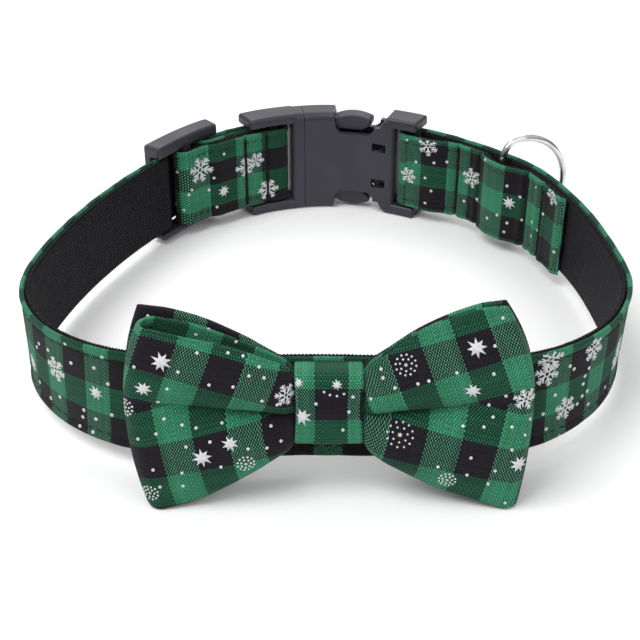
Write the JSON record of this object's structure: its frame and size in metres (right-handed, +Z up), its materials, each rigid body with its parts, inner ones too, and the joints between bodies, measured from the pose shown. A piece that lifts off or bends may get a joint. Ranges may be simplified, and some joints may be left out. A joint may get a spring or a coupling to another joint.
{
  "type": "pet bow tie collar",
  "caption": "Adjustable fabric pet collar with a side-release buckle, strap slider, leash ring and a folded bow tie at the front.",
  "frame": {"origin": "middle of the bounding box on the floor that the collar stands on", "axes": "+X to the side with the leash ring as the bow faces the viewer, +Y from the bow to the buckle, +Z up across the strap's width"},
  "size_m": [0.1618, 0.1696, 0.0505],
  "materials": {
    "webbing": "ribbed woven nylon",
    "plaid": "woven cotton in a green and black check",
    "plastic": "fine matte",
    "ring_metal": "polished plating"
  },
  "bodies": {
    "collar": {"webbing_strap": "webbing", "plaid_cover": "plaid", "bow_back": "plaid", "bow_front": "plaid", "knot_band": "plaid", "buckle_female": "plastic", "buckle_male": "plastic", "slider": "plastic"},
    "ring": {"d_ring": "ring_metal"}
  },
  "joints": [
    {"name": "ring_swing", "type": "hinge", "parent": "collar", "child": "ring", "pos_m": [0.0561, 0.0485, 0.0189], "axis": [0, 0, 1], "range_deg": [-50, 84]}
  ]
}
